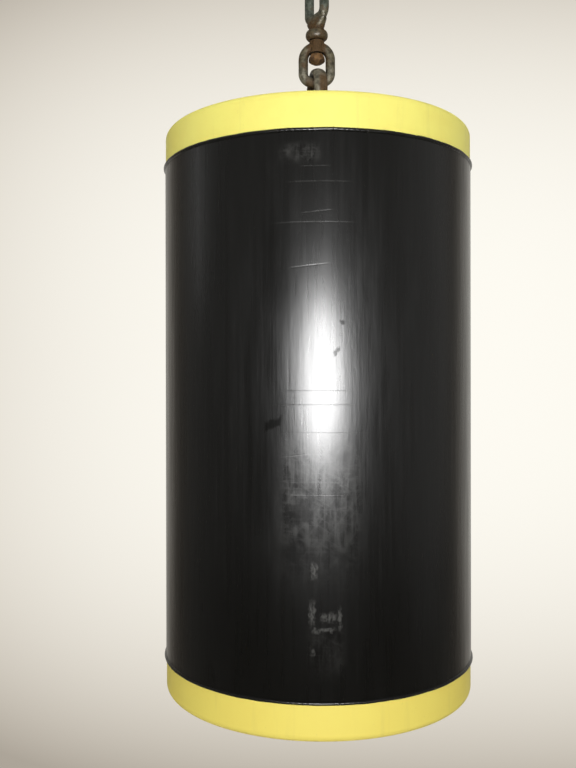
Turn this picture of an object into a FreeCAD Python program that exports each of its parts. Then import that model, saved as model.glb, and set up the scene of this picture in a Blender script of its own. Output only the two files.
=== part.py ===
"""Cylindrical mooring float hung from a chain swivel (millimetres).

A closed length of black plastic pipe carries a yellow moulded cap on each end. A threaded
tie rod runs down the middle, through a steel plate on each cap, and ends in an eye nut
above and below. The upper eye hangs in the bail of a swivel, and the swivel's own eye
hangs from whatever holds the float.

Frame: +Z up, +X to the right of the front. The origin is the hanging point, where the
inside of the swivel eye's top crown rests on its hook.
Moving bodies: swivel_eye (held), swivel_bail (turns on the swivel's shank) and float
(swings on the bail's lower crown).
"""
import FreeCAD
import Part
import math
import os

V = FreeCAD.Vector
UP = V(0, 0, 1)

# ---------------------------------------------------------------- driving dimensions
# swivel: two oval eyes of round bar, one above the other
BAR_D = 13.0              # bar of both eyes
EYE_W = 49.0              # outside width of an eye
EYE_INNER_H = 34.5        # clear height inside an eye
CROWN_BEND_R = 12.0       # bend radius of the worn end crowns, at the bar's centre
FOOT_BEND_R = 9.0         # and of the swivel eye's lower crown, squarer over its neck
EYE_TURN_DEG = -57.0      # swivel eye, turned about Z from the bail's plane

NECK_H = 9.5              # from the eye's lower crown to the collar
NECK_W = 42.0             # neck where it leaves the crown, in the eye's plane
NECK_T = 12.6             # and across it
NECK_SHOULDER_W = 40.0    # neck at its thickest, in the eye's plane
NECK_SHOULDER_T = 18.0    # and across it
NECK_SHOULDER_UP = 1.5    # its level, above the outside of the crown
NECK_D = 18.0             # neck where it meets the collar
NECK_SUNK = 1.5           # neck's end, down inside the collar
COLLAR_D = 30.0
COLLAR_H = 14.0
COLLAR_ROUND = 6.5
SHANK_D = 11.0
SHANK_PLAY = 0.3          # radial play of the shank in the bail
SEAT_GAP = 0.3            # collar to boss, and boss to head
BOSS_D = 20.0
BOSS_PROUD = 1.0          # boss above the bail's bar
BOSS_DROP = 2.8           # boss below the bail's bar
HEAD_GAP = 0.4            # riveted head to the bail's inner arch
HEAD_H = 14.7
HEAD_DOME_H = 4.7

# eye nuts, one on each end of the tie rod
RING_OD = 62.0
RING_BAR_T = 10.0         # forged thickness of the ring, measured outwards
RING_BAR_W = 18.0         # width of the ring, measured along its hole
RING_TRIM = 0.15          # taken off inside the ring, which leaves a narrow plain land
RING_LIFT = 2.0           # lowest point of the ring, above the nut's seat
EYE_NUT_COLLAR_D = 36.0
EYE_NUT_COLLAR_H = 7.0
EYE_NUT_WAIST_D = 24.0    # top of the waist that blends the collar into the ring
EYE_NUT_WAIST_H = 13.0
RING_TURN_DEG = 12.0      # eye nuts, turned about Z from the XZ plane's normal
HOOK_GAP = 0.8            # bail's lower crown to the inside of the ring

# tie rod, plates and lock nut
ROD_D = 20.0
ROD_END_BACK = 1.5        # rod end, back from the inside of each ring
ROD_CHAMFER = 1.5
NUT_AF = 30.0             # hexagon across flats
NUT_H = 18.0
NUT_CHAMFER = 0.6         # chamfer, down the middle of each flat
PLATE_D = 160.0
PLATE_T = 12.0
PLATE_EDGE = 2.0
ROD_PLAY = 0.5            # radial play of the rod in plates and caps

# float
PIPE_D = 400.0
PIPE_WALL = 12.0
PIPE_L = 630.0            # between the two cap joints
CAP_STEP = 0.7            # cap's side, in from the pipe's
CAP_H = 45.0
CAP_WALL = 12.0
CAP_ROUND = 9.0           # outer edge of the cap
SPIGOT_L = 28.0           # cap's spigot, down inside the pipe
SPIGOT_WALL = 10.0
SPIGOT_PLAY = 0.4
HUB_D = 70.0              # hub inside each cap, round the rod
HUB_L = 26.0
BEAD_PROUD = 2.5          # weld bead, out from the pipe
BEAD_H = 6.0

CUT_PAST = 1.0            # how far a drill or bore runs past the face it leaves

# ---------------------------------------------------------------- levels along the axis
BAR_R = BAR_D / 2
RING_HOLE_D = RING_OD - 2 * (RING_BAR_T - RING_TRIM)
LEG_X = EYE_W / 2 - BAR_R                       # centre of an eye's straight leg
EYE_NUT_H = RING_LIFT + RING_OD                 # seat to the crown of the ring
CAP_D = PIPE_D - 2 * CAP_STEP

EYE_TOP = BAR_D                                 # outside of the swivel eye's top crown
EYE_BOTTOM = -EYE_INNER_H - BAR_D
COLLAR_TOP = EYE_BOTTOM - NECK_H
COLLAR_BOTTOM = COLLAR_TOP - COLLAR_H
BOSS_TOP = COLLAR_BOTTOM - SEAT_GAP
BAIL_TOP = BOSS_TOP - BOSS_PROUD
BOSS_BOTTOM = BAIL_TOP - BAR_D - BOSS_DROP
BAIL_BOTTOM = BAIL_TOP - EYE_INNER_H - 2 * BAR_D
HEAD_TOP = BOSS_BOTTOM - SEAT_GAP
ARCH_R = EYE_W / 2 - BAR_D                      # inside of the bail's upper crown
ARCH_CENTRE = BAIL_TOP - BAR_D - ARCH_R
HOOK_AXIS = BAIL_BOTTOM + BAR_R                 # centre of the bail's lower crown
RING_TOP = HOOK_AXIS + BAR_R + HOOK_GAP + RING_BAR_T
TOP_NUT_SEAT = RING_TOP - EYE_NUT_H             # upper eye nut stands on the lock nut
TOP_PLATE_TOP = TOP_NUT_SEAT - NUT_H
CAP_TOP = TOP_PLATE_TOP - PLATE_T
TOP_JOINT = CAP_TOP - CAP_H
BOTTOM_JOINT = TOP_JOINT - PIPE_L
CAP_BOTTOM = BOTTOM_JOINT - CAP_H
BOTTOM_NUT_SEAT = CAP_BOTTOM - PLATE_T          # lower eye nut bears on the plate
RING_BOTTOM = BOTTOM_NUT_SEAT - EYE_NUT_H


# ---------------------------------------------------------------- helpers
def cylinder(diameter, z_low, z_high):
    return Part.makeCylinder(diameter / 2, z_high - z_low, V(0, 0, z_low), UP)


def arc(a, mid, b):
    return Part.Arc(V(*a), V(*mid), V(*b)).toShape()


def line(a, b):
    return Part.LineSegment(V(*a), V(*b)).toShape()


def on_circle(centre_x, centre_z, radius, degrees):
    a = math.radians(degrees)
    return (centre_x + radius * math.cos(a), 0, centre_z + radius * math.sin(a))


def revolved(edges):
    """Turns a closed outline in the XZ plane about Z."""
    return Part.Face(Part.Wire(edges)).revolve(V(0, 0, 0), UP, 360)


def turned(shape, degrees):
    result = shape.copy()
    result.rotate(V(0, 0, 0), UP, degrees)
    return result


def upside_down(shape, z_middle):
    result = shape.copy()
    result.rotate(V(0, 0, z_middle), V(1, 0, 0), 180)
    return result


def oval_eye(z_low, z_high, upper_bend, lower_bend):
    """Round bar bent to a closed oval in the XZ plane, between two outside levels."""
    top, bottom = z_high - BAR_R, z_low + BAR_R
    upper_z, lower_z = top - upper_bend, bottom + lower_bend
    upper_x, lower_x = LEG_X - upper_bend, LEG_X - lower_bend
    edges = [
        line((LEG_X, 0, lower_z), (LEG_X, 0, upper_z)),
        arc((LEG_X, 0, upper_z), on_circle(upper_x, upper_z, upper_bend, 45), (upper_x, 0, top)),
    ]
    if upper_x > 0:
        edges.append(line((upper_x, 0, top), (-upper_x, 0, top)))
    edges += [
        arc((-upper_x, 0, top), on_circle(-upper_x, upper_z, upper_bend, 135), (-LEG_X, 0, upper_z)),
        line((-LEG_X, 0, upper_z), (-LEG_X, 0, lower_z)),
        arc((-LEG_X, 0, lower_z), on_circle(-lower_x, lower_z, lower_bend, 225), (-lower_x, 0, bottom)),
    ]
    if lower_x > 0:
        edges.append(line((-lower_x, 0, bottom), (lower_x, 0, bottom)))
    last_mid = on_circle(lower_x, lower_z, lower_bend, 315)
    edges.append(arc((lower_x, 0, bottom), last_mid, (LEG_X, 0, lower_z)))
    section = Part.Wire(Part.makeCircle(BAR_R, V(LEG_X, 0, lower_z), UP))
    return Part.Wire(edges).makePipeShell([section], True, True)


# ---------------------------------------------------------------- swivel
def swivel_neck():
    """Forged palm: an oval inside the eye's lower crown tapers to a round inside the collar."""
    crown = V(0, 0, EYE_BOTTOM + BAR_R)
    shoulder = V(0, 0, EYE_BOTTOM + NECK_SHOULDER_UP)
    sections = [
        Part.Ellipse(crown, NECK_W / 2, NECK_T / 2).toShape(),
        Part.Ellipse(shoulder, NECK_SHOULDER_W / 2, NECK_SHOULDER_T / 2).toShape(),
        Part.makeCircle(NECK_D / 2, V(0, 0, COLLAR_TOP - NECK_SUNK), UP),
    ]
    return Part.makeLoft([Part.Wire(section) for section in sections], True, True)


def swivel_eye():
    """Oval eye, neck, round collar and shank, forged in one."""
    eye = oval_eye(EYE_BOTTOM, EYE_TOP, CROWN_BEND_R, FOOT_BEND_R)
    collar = cylinder(COLLAR_D, COLLAR_BOTTOM, COLLAR_TOP)
    rims = [e for e in collar.Edges if e.Curve.TypeId == "Part::GeomCircle"]
    collar = collar.makeFillet(COLLAR_ROUND, rims)
    shank = cylinder(SHANK_D, HEAD_TOP, COLLAR_TOP)
    return turned(eye.fuse([swivel_neck(), collar, shank]).removeSplitter(), EYE_TURN_DEG)


def swivel_head():
    """Rusty riveted head: its shoulder follows the bail's arch, then a short rim and a dome."""
    rim = ARCH_R - HEAD_GAP
    top_angle = math.degrees(math.asin((HEAD_TOP - ARCH_CENTRE) / rim))
    shoulder = on_circle(0, ARCH_CENTRE, rim, top_angle)
    shoulder_mid = on_circle(0, ARCH_CENTRE, rim, top_angle / 2)
    low = HEAD_TOP - HEAD_H
    rim_low = low + HEAD_DOME_H
    dome_r = (rim ** 2 + HEAD_DOME_H ** 2) / (2 * HEAD_DOME_H)
    half = math.asin(rim / dome_r) / 2
    dome_mid = (dome_r * math.sin(half), 0, low + dome_r * (1 - math.cos(half)))
    outline = [
        line((0, 0, HEAD_TOP), shoulder),
        arc(shoulder, shoulder_mid, (rim, 0, ARCH_CENTRE)),
        line((rim, 0, ARCH_CENTRE), (rim, 0, rim_low)),
        arc((rim, 0, rim_low), dome_mid, (0, 0, low)),
        line((0, 0, low), (0, 0, HEAD_TOP)),
    ]
    return revolved(outline)


def swivel_bail():
    """Oval eye with a bored boss in its top crown."""
    eye = oval_eye(BAIL_BOTTOM, BAIL_TOP, LEG_X, CROWN_BEND_R)
    boss = cylinder(BOSS_D, BOSS_BOTTOM, BOSS_TOP)
    bore = cylinder(SHANK_D + 2 * SHANK_PLAY, BOSS_BOTTOM - BAR_D, BOSS_TOP + BAR_D)
    return eye.fuse(boss).removeSplitter().cut(bore)


# ---------------------------------------------------------------- tie rod and its fittings
def eye_ring(crown):
    """Ring of oval section in the YZ plane, bored to its trimmed hole."""
    centre = V(0, 0, crown - RING_OD / 2)
    section = Part.Ellipse(V(0, 0, crown - RING_BAR_T / 2), RING_BAR_W / 2, RING_BAR_T / 2).toShape()
    section.rotate(V(0, 0, crown - RING_BAR_T / 2), V(1, 0, 0), 90)
    ring = Part.Face(Part.Wire(section)).revolve(centre, V(1, 0, 0), 360)
    return ring, centre


def eye_nut(seat):
    """Forged eye nut with its ring up, standing on the level `seat`."""
    ring, centre = eye_ring(seat + EYE_NUT_H)
    collar_top = seat + EYE_NUT_COLLAR_H
    collar = cylinder(EYE_NUT_COLLAR_D, seat, collar_top)
    waist = Part.makeCone(EYE_NUT_COLLAR_D / 2, EYE_NUT_WAIST_D / 2, EYE_NUT_WAIST_H,
                          V(0, 0, collar_top), UP)
    hole = Part.makeCylinder(RING_HOLE_D / 2, 2 * RING_BAR_W, centre - V(RING_BAR_W, 0, 0), V(1, 0, 0))
    thread = cylinder(ROD_D, seat - CUT_PAST, seat + RING_LIFT + 2 * RING_BAR_T)
    body = ring.fuse([collar, waist]).removeSplitter().cut(hole).cut(thread)
    return turned(body, RING_TURN_DEG)


def lock_nut():
    """Plain hexagon nut with chamfered corners."""
    corner_r = NUT_AF / math.sqrt(3)
    corners = [V(corner_r * math.cos(math.radians(60 * i)), corner_r * math.sin(math.radians(60 * i)),
                 TOP_PLATE_TOP) for i in range(7)]
    prism = Part.Face(Part.makePolygon(corners)).extrude(V(0, 0, NUT_H))
    drop = (corner_r - NUT_AF / 2) * math.tan(math.radians(30))
    barrel = cylinder(2 * corner_r, TOP_PLATE_TOP, TOP_NUT_SEAT)
    rims = [e for e in barrel.Edges if e.Curve.TypeId == "Part::GeomCircle"]
    barrel = barrel.makeChamfer(drop + NUT_CHAMFER, rims)
    thread = cylinder(ROD_D, TOP_PLATE_TOP - CUT_PAST, TOP_NUT_SEAT + CUT_PAST)
    return prism.common(barrel).cut(thread)


def clamp_plate(z_low):
    """Round washer plate with a broken edge."""
    plate = cylinder(PLATE_D, z_low, z_low + PLATE_T)
    rims = [e for e in plate.Edges if e.Curve.TypeId == "Part::GeomCircle"]
    plate = plate.makeChamfer(PLATE_EDGE, rims)
    return plate.cut(cylinder(ROD_D + 2 * ROD_PLAY, z_low - CUT_PAST, z_low + PLATE_T + CUT_PAST))


def tie_rod():
    """Threaded rod with chamfered ends, from inside one ring's base to inside the other's."""
    top = TOP_NUT_SEAT + RING_LIFT + RING_BAR_T - ROD_END_BACK
    bottom = BOTTOM_NUT_SEAT - RING_LIFT - RING_BAR_T + ROD_END_BACK
    rod = cylinder(ROD_D, bottom, top)
    ends = [e for e in rod.Edges if e.Curve.TypeId == "Part::GeomCircle"]
    return rod.makeChamfer(ROD_CHAMFER, ends)


# ---------------------------------------------------------------- float
def pipe_shell():
    pipe = cylinder(PIPE_D, BOTTOM_JOINT, TOP_JOINT)
    bore = cylinder(PIPE_D - 2 * PIPE_WALL, BOTTOM_JOINT - CUT_PAST, TOP_JOINT + CUT_PAST)
    return pipe.cut(bore)


def end_cap():
    """Moulded dish with a rounded edge, a spigot inside the pipe and a hub round the rod."""
    outer, r = CAP_D / 2, CAP_ROUND
    inner = outer - CAP_WALL
    roof = CAP_TOP - CAP_WALL
    spigot_out = PIPE_D / 2 - PIPE_WALL - SPIGOT_PLAY
    spigot_in = spigot_out - SPIGOT_WALL
    hub, bore = HUB_D / 2, ROD_D / 2 + ROD_PLAY
    spigot_low, hub_low = TOP_JOINT - SPIGOT_L, roof - HUB_L
    outline = [
        line((bore, 0, CAP_TOP), (outer - r, 0, CAP_TOP)),
        arc((outer - r, 0, CAP_TOP), on_circle(outer - r, CAP_TOP - r, r, 45), (outer, 0, CAP_TOP - r)),
        line((outer, 0, CAP_TOP - r), (outer, 0, TOP_JOINT)),
        line((outer, 0, TOP_JOINT), (spigot_out, 0, TOP_JOINT)),
        line((spigot_out, 0, TOP_JOINT), (spigot_out, 0, spigot_low)),
        line((spigot_out, 0, spigot_low), (spigot_in, 0, spigot_low)),
        line((spigot_in, 0, spigot_low), (spigot_in, 0, roof)),
        line((spigot_in, 0, roof), (hub, 0, roof)),
        line((hub, 0, roof), (hub, 0, hub_low)),
        line((hub, 0, hub_low), (bore, 0, hub_low)),
        line((bore, 0, hub_low), (bore, 0, CAP_TOP)),
    ]
    return revolved(outline)


def weld_bead():
    """Rounded bead over the joint between the pipe and the upper cap."""
    high, low = TOP_JOINT + BEAD_H / 2, TOP_JOINT - BEAD_H / 2
    pipe_r, cap_r = PIPE_D / 2, CAP_D / 2
    outline = [
        line((pipe_r, 0, TOP_JOINT), (pipe_r, 0, low)),
        arc((pipe_r, 0, low), (pipe_r + BEAD_PROUD, 0, TOP_JOINT), (cap_r, 0, high)),
        line((cap_r, 0, high), (cap_r, 0, TOP_JOINT)),
        line((cap_r, 0, TOP_JOINT), (pipe_r, 0, TOP_JOINT)),
    ]
    return revolved(outline)


# ---------------------------------------------------------------- the parts
FLOAT_MIDDLE = (TOP_JOINT + BOTTOM_JOINT) / 2
lower_nut_upright = eye_nut(2 * FLOAT_MIDDLE - BOTTOM_NUT_SEAT)
nodes = {
    "swivel_eye": swivel_eye(),
    "swivel_head": swivel_head(),
    "swivel_bail": swivel_bail(),
    "top_eye_nut": eye_nut(TOP_NUT_SEAT),
    "top_lock_nut": lock_nut(),
    "top_plate": clamp_plate(CAP_TOP),
    "tie_rod": tie_rod(),
    "top_cap": end_cap(),
    "top_weld_bead": weld_bead(),
    "pipe_shell": pipe_shell(),
    "bottom_weld_bead": upside_down(weld_bead(), FLOAT_MIDDLE),
    "bottom_cap": upside_down(end_cap(), FLOAT_MIDDLE),
    "bottom_plate": clamp_plate(CAP_BOTTOM - PLATE_T),
    "bottom_eye_nut": upside_down(lower_nut_upright, FLOAT_MIDDLE),
}

os.makedirs("parts", exist_ok=True)
for name, shape in nodes.items():
    print(f"{name:18s} solids {len(shape.Solids)} valid {shape.isValid()}"
          f" volume {shape.Volume / 1000:9.1f} cm3"
          f"  z {shape.BoundBox.ZMin:8.1f} {shape.BoundBox.ZMax:8.1f}")
    shape.exportStep(f"parts/{name}.step")
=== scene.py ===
# %% [markdown]
# # A mooring buoy made of pipe
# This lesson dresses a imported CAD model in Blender. The buoy is a closed length of black
# plastic pipe with a yellow moulded cap on each end. A tie rod runs through it, and a chain
# swivel holds it up by an eye nut. The CAD model gives every piece its size and place, so the
# lesson is about surfaces: how plastic, zinc and rust look, and how a camera sees them.

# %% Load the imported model
import bpy
import math
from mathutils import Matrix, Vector, noise


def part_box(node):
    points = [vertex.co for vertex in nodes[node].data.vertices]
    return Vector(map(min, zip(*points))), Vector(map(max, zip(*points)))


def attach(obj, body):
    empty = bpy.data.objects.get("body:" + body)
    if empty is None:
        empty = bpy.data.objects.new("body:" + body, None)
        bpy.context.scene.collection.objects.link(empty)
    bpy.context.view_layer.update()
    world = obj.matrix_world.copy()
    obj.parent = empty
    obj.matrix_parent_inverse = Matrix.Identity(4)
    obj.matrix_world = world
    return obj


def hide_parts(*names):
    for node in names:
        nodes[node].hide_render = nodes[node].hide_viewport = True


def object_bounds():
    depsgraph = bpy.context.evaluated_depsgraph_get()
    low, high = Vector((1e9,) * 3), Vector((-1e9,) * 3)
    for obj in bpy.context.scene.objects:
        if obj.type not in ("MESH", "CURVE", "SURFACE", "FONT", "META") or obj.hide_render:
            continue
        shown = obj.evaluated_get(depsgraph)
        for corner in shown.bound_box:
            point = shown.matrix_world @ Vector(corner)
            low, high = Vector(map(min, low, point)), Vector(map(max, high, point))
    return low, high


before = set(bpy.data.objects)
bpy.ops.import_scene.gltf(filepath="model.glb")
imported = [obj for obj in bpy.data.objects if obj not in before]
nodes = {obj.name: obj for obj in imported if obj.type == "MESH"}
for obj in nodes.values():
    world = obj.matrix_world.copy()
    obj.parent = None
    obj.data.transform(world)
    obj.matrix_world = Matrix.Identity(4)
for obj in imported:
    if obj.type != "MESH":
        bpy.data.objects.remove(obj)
cad_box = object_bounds()
print("nodes:", ", ".join(sorted(nodes)))

# %% [markdown]
# ## Places worked out from the model
# A material often has to know where it is: a scratch runs round the pipe at one height, and
# dirt gathers under a collar. Reading those heights from the model's boxes keeps the marks in
# place when a size changes.

# %% Heights and radii of the main pieces
pipe_low, pipe_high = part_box("pipe_shell")
PIPE_R = pipe_high.x
PIPE_BOTTOM = pipe_low.z
PIPE_TOP = pipe_high.z
PIPE_MIDDLE = (PIPE_BOTTOM + PIPE_TOP) / 2
BUOY_BOTTOM = cad_box[0].z
print(f"pipe radius {PIPE_R:.3f} m, from {PIPE_BOTTOM:.3f} to {PIPE_TOP:.3f} m")


# %% [markdown]
# ## Small helpers for shader trees
# Building nodes in code is wordy. A few helpers keep it short: they add a node and fill its
# inputs, do arithmetic, map a range of values to another with soft ends, and mix two colours.
# An input takes a plain value or another node's output.

# %% Helpers that add nodes
def fill(tree, socket, value):
    """Links an input to another node's output, or gives it a plain value."""
    if isinstance(value, bpy.types.NodeSocket):
        tree.links.new(value, socket)
    else:
        socket.default_value = value


def add(tree, kind, label="", settings=None, **inputs):
    """Adds a node. An input's name has _ where the socket's name has a space."""
    node = tree.nodes.new(kind)
    node.label = label
    for name, value in (settings or {}).items():
        setattr(node, name, value)
    for name, value in inputs.items():
        fill(tree, node.inputs[name.replace("_", " ")], value)
    return node


def maths(tree, operation, *values, clamp=False):
    """One arithmetic node on up to three values, and its result."""
    node = tree.nodes.new("ShaderNodeMath")
    node.operation = operation
    node.use_clamp = clamp
    for socket, value in zip(node.inputs, values):
        fill(tree, socket, value)
    return node.outputs[0]


def chain(tree, operation, first, *others):
    """The same arithmetic on any number of values, one after the other."""
    for value in others:
        first = maths(tree, operation, first, value)
    return first


def product(tree, *values):
    return chain(tree, "MULTIPLY", *values)


def largest(tree, *values):
    return chain(tree, "MAXIMUM", *values)


def soft_step(tree, value, start, end, low=0.0, high=1.0):
    """Goes from low to high, with soft ends, as the value goes from start to end."""
    node = add(tree, "ShaderNodeMapRange", settings={"interpolation_type": "SMOOTHSTEP"},
               Value=value, From_Min=start, From_Max=end, To_Min=low, To_Max=high)
    return node.outputs["Result"]


MIX_SHARE, MIX_FIRST, MIX_SECOND = 0, 6, 7    # inputs of a Mix node that mixes colours
MIX_RESULT = 2                                # and its output


def mix_colours(tree, share, first, second):
    """Mixes two colours by a share from 0 to 1."""
    node = tree.nodes.new("ShaderNodeMix")
    node.data_type = "RGBA"
    for index, value in ((MIX_SHARE, share), (MIX_FIRST, first), (MIX_SECOND, second)):
        fill(tree, node.inputs[index], value)
    return node.outputs[MIX_RESULT]


def shader_group(name, inputs, outputs):
    """An empty shader group with named sockets, and its input node and output node."""
    tree = bpy.data.node_groups.new(name, "ShaderNodeTree")
    for socket_name, kind, default in inputs:
        socket = tree.interface.new_socket(
            socket_name, in_out="INPUT", socket_type="NodeSocket" + kind)
        if default is not None:
            socket.default_value = default
    for socket_name, kind in outputs:
        tree.interface.new_socket(
            socket_name, in_out="OUTPUT", socket_type="NodeSocket" + kind)
    return tree, tree.nodes.new("NodeGroupInput"), tree.nodes.new("NodeGroupOutput")


def place(tree, group, **inputs):
    """Puts a shared group into a material or another group."""
    return add(tree, "ShaderNodeGroup", group.name, {"node_tree": group}, **inputs)


# %% [markdown]
# ## Small helpers for meshes
# A new piece is a mesh that rides on one of the CAD bodies and stands for a CAD node. The
# piece keeps the node's place, so nothing has to be fitted.

# %% Helpers that make pieces
def new_piece(name, mesh, node, body):
    """A smooth-shaded piece that rides on a body in place of a CAD node."""
    piece = bpy.data.objects.new(name, mesh)
    bpy.context.scene.collection.objects.link(piece)
    mesh.polygons.foreach_set("use_smooth", [True] * len(mesh.polygons))
    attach(piece, body)
    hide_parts(node)
    return piece


def even_copy(mesh, voxel, soft_steps):
    """A copy of a mesh with small even faces and slightly softened corners."""
    copy = bpy.data.objects.new("copy", mesh.copy())
    bpy.context.scene.collection.objects.link(copy)
    remesh = copy.modifiers.new("even_faces", "REMESH")
    remesh.mode = "VOXEL"
    remesh.voxel_size = voxel
    soften = copy.modifiers.new("soft_corners", "SMOOTH")
    soften.factor = 0.5
    soften.iterations = soft_steps
    depsgraph = bpy.context.evaluated_depsgraph_get()
    result = bpy.data.meshes.new_from_object(copy.evaluated_get(depsgraph))
    bpy.data.objects.remove(copy)
    result.materials.clear()
    return result


# %% [markdown]
# ## Forged pieces
# The swivel and the eye nuts are forged: their corners are rounded by the die, and hammer
# marks and scale leave shallow dents. Each piece starts as a copy of the exact solid, gets
# small even faces, and is pushed in by a fraction of a millimetre where noise says so. It is
# only ever pushed inwards, so that it still fits its neighbours. Sculpting by hand would look
# as good, but noise does it the same way each time, also when a size changes.

# %% Forged swivel and eye nuts
DENT_NOISE = (0.8, 2.0, 3)    # how fast its octaves fade, their ratio in size, their number
FORGED = [  # CAD node, body, slot, voxel, softening steps, depth and size of the dents
    ("swivel_eye", "swivel_eye", "galvanised", 0.00055, 8, 0.00030, 0.006),
    ("swivel_bail", "swivel_bail", "galvanised", 0.00055, 6, 0.00020, 0.006),
    ("swivel_head", "swivel_eye", "rusty_steel", 0.00045, 6, 0.00060, 0.004),
    ("top_eye_nut", "float", "galvanised", 0.00060, 8, 0.00025, 0.007),
    ("bottom_eye_nut", "float", "galvanised", 0.00060, 8, 0.00025, 0.007),
]


def forge(node, body, slot_name, voxel, soft_steps, dent_depth, dent_size):
    """A copy of a CAD node with rounded corners, pushed in along its normals by noise."""
    mesh = even_copy(nodes[node].data, voxel, soft_steps)
    pushed = []
    for vertex in mesh.vertices:
        value = noise.fractal(vertex.co / dent_size, *DENT_NOISE)
        share = min(1.0, max(0.0, 0.5 + 0.5 * value))
        pushed.append(vertex.co - vertex.normal * dent_depth * share)
    for vertex, point in zip(mesh.vertices, pushed):
        vertex.co = point
    return new_piece("forged_" + node, mesh, node, body)


forged = {row[0]: forge(*row) for row in FORGED}
for piece in forged.values():
    print(f"{piece.name}: {len(piece.data.polygons)} faces")

# %% [markdown]
# ## Weld beads
# A welder lays the bead by hand, in short steps round the joint, so its height and its edges
# wander a little. A bump map could draw the ripples, but the bead is also seen from the side,
# where it shows its outline. So it is a mesh of its own: a flat arc from the pipe to the cap,
# carried round the joint and dipped a little at each ripple.

# %% Weld beads with ripples
RIPPLE_PITCH = 0.0062       # along the joint
RIPPLE_DEPTH = 0.00022
RIPPLE_STEPS = 6            # points along one ripple
RIPPLE_UNEVEN = 1.5         # how far noise shifts a ripple, in radians
RIPPLE_NOISE_SCALE, RIPPLE_NOISE_LEVEL = 20, 3
BEAD_WANDER = 0.00045       # how far the bead's edges wander
BEAD_WANDER_SCALE = 9
BEAD_SUNK = 0.0003          # its two edges, below the plastic
BEAD_ROUND = 0.8            # under 1, its outline is flatter on top and steeper at the edges
BEAD_ARC_POINTS = 9         # points across the bead


def weld_bead(node, cap_node):
    """A band round the joint whose outline runs from the pipe's surface to the cap's."""
    low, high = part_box(node)
    cap_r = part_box(cap_node)[1].x
    cap_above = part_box(cap_node)[1].z > high.z
    crest, middle, half = high.x, (low.z + high.z) / 2, (high.z - low.z) / 2
    ripples = round(2 * math.pi * PIPE_R / RIPPLE_PITCH)
    steps = ripples * RIPPLE_STEPS
    verts, faces = [], []
    for i in range(steps):
        angle = 2 * math.pi * i / steps
        x, y = math.sin(angle), -math.cos(angle)
        wander_at = Vector((x * BEAD_WANDER_SCALE, y * BEAD_WANDER_SCALE, middle))
        shift_at = Vector((x * RIPPLE_NOISE_SCALE, y * RIPPLE_NOISE_SCALE, RIPPLE_NOISE_LEVEL))
        wander = noise.noise(wander_at) * BEAD_WANDER
        shift = RIPPLE_UNEVEN * noise.noise(shift_at)
        dip = RIPPLE_DEPTH * (0.5 + 0.5 * math.cos(ripples * angle + shift))
        for j in range(BEAD_ARC_POINTS):
            t = -1 + 2 * j / (BEAD_ARC_POINTS - 1)
            toward_cap = t if cap_above else -t
            base = PIPE_R + (cap_r - PIPE_R) * (1 + toward_cap) / 2
            bulge = -BEAD_SUNK
            if abs(t) < 1:
                bulge = (crest - PIPE_R - dip) * math.cos(t * math.pi / 2) ** BEAD_ROUND
            z = middle + t * (half - BEAD_WANDER) + wander
            r = min(base + bulge, crest)
            verts.append((x * r, y * r, z))
    for i in range(steps):
        for j in range(BEAD_ARC_POINTS - 1):
            a, b = i * BEAD_ARC_POINTS + j, (i + 1) % steps * BEAD_ARC_POINTS + j
            faces.append((a, b, b + 1, a + 1))
    mesh = bpy.data.meshes.new("rippled_" + node)
    mesh.from_pydata(verts, [], faces)
    return new_piece("rippled_" + node, mesh, node, "float")


beads = [weld_bead("top_weld_bead", "top_cap"), weld_bead("bottom_weld_bead", "bottom_cap")]
print("bead faces:", [len(b.data.polygons) for b in beads])

# %% [markdown]
# ## Shared effect: where am I on a turned piece?
# Most of this object is round about one upright axis. Angle round that axis and height along
# it are handier than x, y and z, because a scratch or a run of dirt follows them. The angle is
# zero at the front and grows to the right, and it is given as a distance along the pipe.

# %% Group: round the axis
def build_round_axis():
    tree, given, result = shader_group(
        "round_the_axis", [("Radius", "Float", PIPE_R)],
        [("Around", "Float"), ("Height", "Float"), ("Point", "Vector")])
    point = add(tree, "ShaderNodeTexCoord").outputs["Object"]
    parts = add(tree, "ShaderNodeSeparateXYZ", Vector=point)
    backward = maths(tree, "MULTIPLY", parts.outputs["Y"], -1.0)
    angle = maths(tree, "ARCTAN2", parts.outputs["X"], backward)
    around = maths(tree, "MULTIPLY", angle, given.outputs["Radius"])
    tree.links.new(around, result.inputs["Around"])
    tree.links.new(parts.outputs["Z"], result.inputs["Height"])
    tree.links.new(point, result.inputs["Point"])
    return tree


ROUND_AXIS = build_round_axis()
print("group", ROUND_AXIS.name, "has", len(ROUND_AXIS.nodes), "nodes")

# %% [markdown]
# ## Shared effect: streaks
# Pipe is drawn through a die and caps are wiped and rained on, so both carry fine lines along
# the axis. Noise that is squeezed sideways and stretched upwards gives such lines. The group
# hands out a value from 0 to 1, and each material decides what it means.

# %% Group: streaks along the axis
def build_streaks():
    tree, given, result = shader_group(
        "streaks", [("Point", "Vector", None), ("Across", "Float", 400.0), ("Along", "Float", 8.0),
                    ("Detail", "Float", 3.0), ("Seed", "Float", 0.0)],
        [("Value", "Float")])
    stretch = add(tree, "ShaderNodeCombineXYZ", X=given.outputs["Across"],
                  Y=given.outputs["Across"], Z=given.outputs["Along"])
    scaled = add(tree, "ShaderNodeVectorMath", settings={"operation": "MULTIPLY"})
    tree.links.new(given.outputs["Point"], scaled.inputs[0])
    tree.links.new(stretch.outputs[0], scaled.inputs[1])
    texture = add(tree, "ShaderNodeTexNoise", settings={"noise_dimensions": "4D"},
                  Vector=scaled.outputs[0], W=given.outputs["Seed"], Scale=1.0,
                  Detail=given.outputs["Detail"], Roughness=0.6)
    tree.links.new(texture.outputs["Fac"], result.inputs["Value"])
    return tree


STREAKS = build_streaks()
print("group", STREAKS.name, "has", len(STREAKS.nodes), "nodes")

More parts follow.
